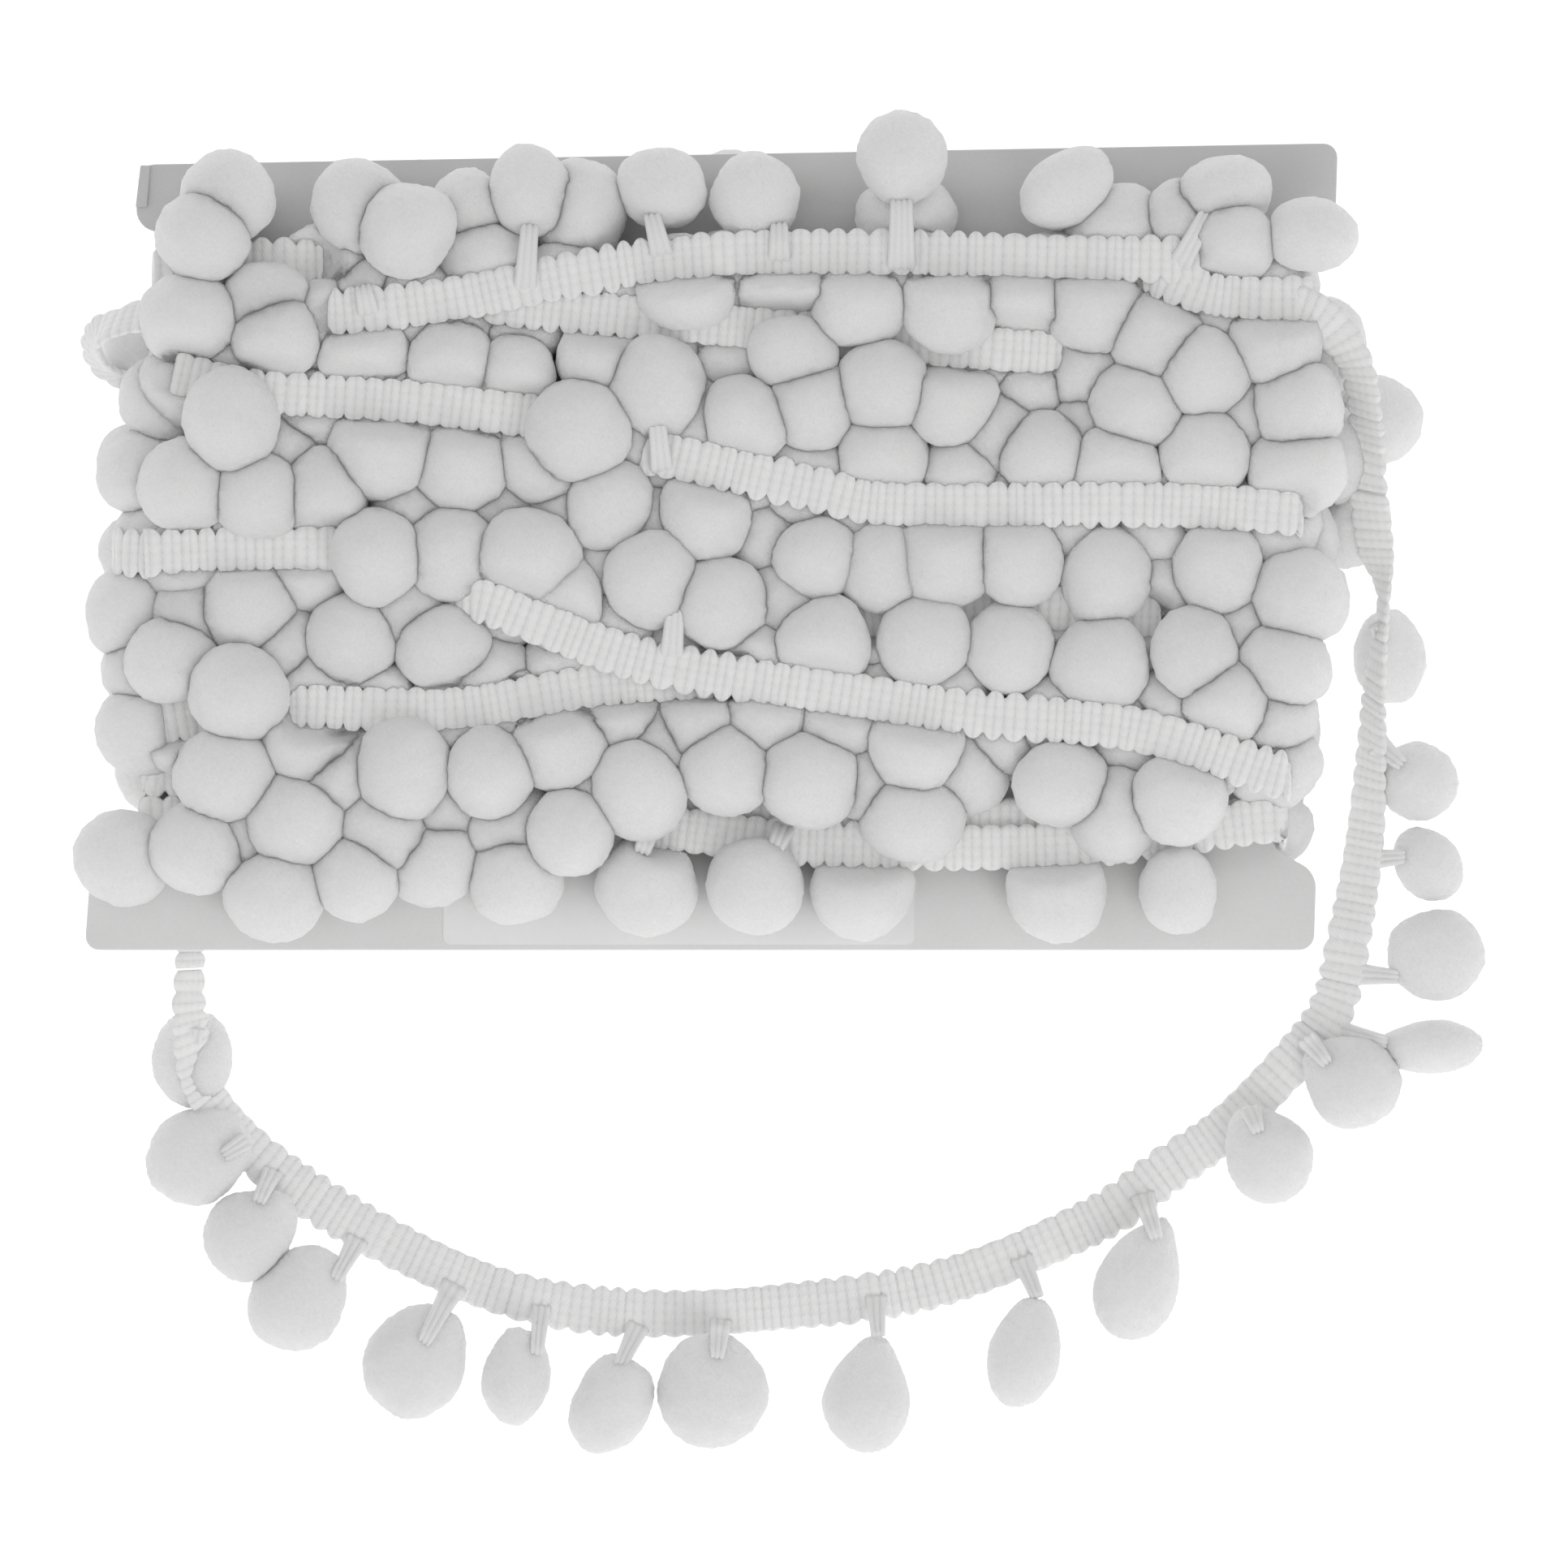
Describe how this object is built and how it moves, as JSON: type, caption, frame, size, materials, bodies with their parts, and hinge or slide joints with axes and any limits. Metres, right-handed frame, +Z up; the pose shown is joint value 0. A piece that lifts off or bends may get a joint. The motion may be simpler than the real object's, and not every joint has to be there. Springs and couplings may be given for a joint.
{
  "type": "pompom fringe trim wound on a card",
  "caption": "White pompom fringe trim wound round the waist of a notched card lying on its back, with one strand of tape and pompoms swinging loose below the card.",
  "frame": {"origin": "on the surface that the trim lies on, at the middle of the whole object's box", "axes": "+X runs across the card's long way, towards the side where the strand leaves the winding; +Y runs up the card, away from the loose bow; +Z is up, out of the card's front"},
  "size_m": [0.2893, 0.2756, 0.0521],
  "materials": {
    "yarn": "soft white yarn, matt",
    "card_board": "pale grey paper board, matt"
  },
  "bodies": {
    "root": {"card": "card_board", "wound_trim": "yarn", "loose_trim": "yarn"}
  },
  "joints": []
}
